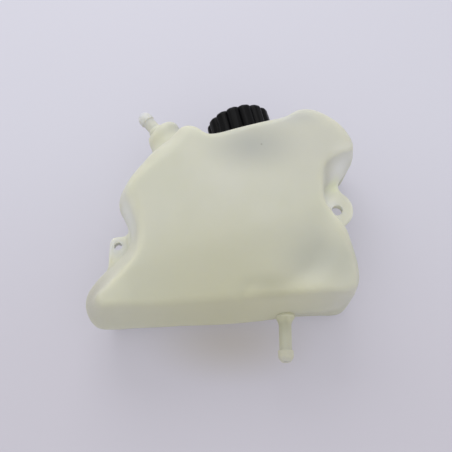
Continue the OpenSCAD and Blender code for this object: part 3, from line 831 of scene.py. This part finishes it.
finishes = {
    "cap_plastic": plain_material(
        "black nylon", (4, 4, 5), (8, 8, 10), 0.34, 1200.0, 0.1, Specular_IOR_Level=0.1),
    "barrel_plastic": plain_material(
        "dark plastic", (34, 34, 38), (44, 44, 48), 0.45, 900.0, 0.12),
    "plunger_plastic": plain_material(
        "white acetal", (214, 212, 200), (224, 222, 212), 0.4, 900.0, 0.08),
    "seal_rubber": plain_material(
        "seal rubber", (20, 20, 20), (30, 30, 30), 0.6, 1500.0, 0.2),
    "spring_steel": plain_material(
        "spring steel", (150, 152, 156), (178, 178, 182), 0.3, 700.0, 0.05, Metallic=1.0),
    "poppet_brass": plain_material(
        "turned brass", (176, 142, 76), (196, 164, 92), 0.3, 700.0, 0.05, Metallic=1.0)}
for obj, name in ((cap, "cap_plastic"), (relief_spring, "spring_steel"), (vacuum_spring, "spring_steel")):
    obj.data.materials.clear()
    obj.data.materials.append(finishes[name])
slot_of = {s["node"]: s["material_slot"] for s in frame["record"]["subparts"]}
for name, node in frame["nodes"].items():
    if slot_of[name] in finishes:
        node.data.materials.clear()
        node.data.materials.append(finishes[slot_of[name]])
print("finishes:", ", ".join(sorted(finishes)))

# %% [markdown]
# ## Table, light and camera
# The tank lies on its back on a pale lilac surface and is seen from its lower side. The table
# is a plane behind the back face. Seen from behind it is see-through, and it is open where the
# tank covers it, so that other views show the tank's back in the light. Its colour is a little
# lighter towards the top, a painted falloff of the light. The real tank lets light through to
# the table, so its shadow is pale and a little warm: a share of the table's colour reaches the
# camera as it is, with no shadow, and a soft warm painted shadow lies below the tank.
# The light is soft and comes from above, so the underside is only a little darker.

# %% Table
TABLE_Y, OPEN_SHARE, TABLE_FAR = BACK_DEPTH + DOME_H + 0.5, 0.93, 1600
# The painted shadow below the tank: its middle and its reach on the table, in metres
PAINTED_SHADOW_AT, PAINTED_SHADOW_REACH = (-0.1, TABLE_Y * MM, -0.114), (0.09, 0.05, 0.045)
SHADOWLESS = 0.38


def table_top(y, outline, share, far):
    """A flat ring in the plane y: at each angle from a share of the outline's radius to far."""
    from_middle = outline - MIDDLE
    bearing = np.arctan2(from_middle[:, 1], from_middle[:, 0])
    a = np.radians(np.arange(0, 360, 2))
    near_r = share * np.interp(a, bearing, np.linalg.norm(from_middle, axis=1), period=2 * np.pi)
    r = np.stack([near_r, np.full(len(a), far)])
    points = np.stack([MIDDLE[0] + r * np.cos(a), np.full(r.shape, y), MIDDLE[1] + r * np.sin(a)], -1)
    mesh = bpy.data.meshes.new("table")
    quads = grid_faces(2, len(a))[:, ::-1]
    mesh.from_pydata((points.reshape(-1, 3) * MM).tolist(), [], quads.tolist())
    made = bpy.data.objects.new("table", mesh)
    bpy.context.scene.collection.objects.link(made)
    return made


table = table_top(TABLE_Y, FACE_EDGE, OPEN_SHARE, TABLE_FAR)
print("table faces the tank:", table.data.polygons[0].normal.y < 0)

# %% Table material
lilac, tree, shader = new_material("pale table", 0.7)
# Painted falloff of light: the table is a little lighter towards the top
painted_falloff_up = ranged(tree, along(tree, "Z"), -0.18, 0.14)
lilac_tone = mixed(tree, linear((200, 197, 207)), linear((207, 206, 217)), painted_falloff_up)
# Painted shadow: a warmer, darker tone on the table below the tank
painted_shadow_mask = near(tree, PAINTED_SHADOW_AT, PAINTED_SHADOW_REACH)
lilac_tone = mixed(tree, lilac_tone, linear((188, 183, 183)), painted_shadow_mask)
tree.links.new(lilac_tone, shader.inputs["Base Color"])
glow = tree.nodes.new("ShaderNodeEmission")
tree.links.new(lilac_tone, glow.inputs["Color"])
to_camera = tree.nodes.new("ShaderNodeLightPath").outputs["Is Camera Ray"]
camera_share = ranged(tree, to_camera, 0.0, 1.0, 0.0, SHADOWLESS)
lifted = tree.nodes.new("ShaderNodeMixShader")
tree.links.new(camera_share, lifted.inputs["Fac"])
tree.links.new(shader.outputs["BSDF"], lifted.inputs[1])
tree.links.new(glow.outputs["Emission"], lifted.inputs[2])
clear = tree.nodes.new("ShaderNodeBsdfTransparent")
choice = tree.nodes.new("ShaderNodeMixShader")
tree.links.new(tree.nodes.new("ShaderNodeNewGeometry").outputs["Backfacing"], choice.inputs["Fac"])
tree.links.new(lifted.outputs["Shader"], choice.inputs[1])
tree.links.new(clear.outputs["BSDF"], choice.inputs[2])
tree.links.new(choice.outputs["Shader"], tree.nodes["Material Output"].inputs["Surface"])
table.data.materials.append(lilac)
print("table material:", len(tree.nodes), "nodes")

# %% Light
def soft_lamp(name, place, aim, size, watts):
    """A square area lamp that faces a point."""
    data = bpy.data.lights.new(name, "AREA")
    data.energy, data.size = watts, size
    lamp = bpy.data.objects.new(name, data)
    lamp.location = place
    lamp.rotation_euler = (Vector(aim) - Vector(place)).to_track_quat("-Z", "Y").to_euler()
    bpy.context.scene.collection.objects.link(lamp)
    return lamp


window = soft_lamp("window", place=(-0.3, -0.75, 0.85), aim=(-0.1, 0, 0), size=0.9, watts=5)
world = bpy.data.worlds.new("room")
bpy.context.scene.world = world
world.use_nodes = True
world.node_tree.nodes["Background"].inputs["Color"].default_value = (0.88, 0.88, 0.89, 1)
world.node_tree.nodes["Background"].inputs["Strength"].default_value = 0.95
print("lamp:", window.data.energy, "W over", round(window.data.size, 2), "m")

# %% Camera
SEEN_FROM, DISTANCE, SEEN_WIDTH, SENSOR = math.radians(21.5), 0.7, 0.4176, 36
AIM = Vector((-0.1029, 0, -0.0142))
camera = bpy.data.objects.new("camera", bpy.data.cameras.new("camera"))
bpy.context.scene.collection.objects.link(camera)
away = Vector((0, math.cos(SEEN_FROM), math.sin(SEEN_FROM)))
camera.location = AIM - DISTANCE * away
camera.rotation_euler = away.to_track_quat("-Z", "Y").to_euler()
camera.data.sensor_width, camera.data.lens = SENSOR, SENSOR * DISTANCE / SEEN_WIDTH
camera.data.clip_start, camera.data.clip_end = 0.05, 20
bpy.context.scene.camera = camera
bpy.context.scene.view_settings.view_transform = "Standard"
print("lens:", round(camera.data.lens, 2), "mm")
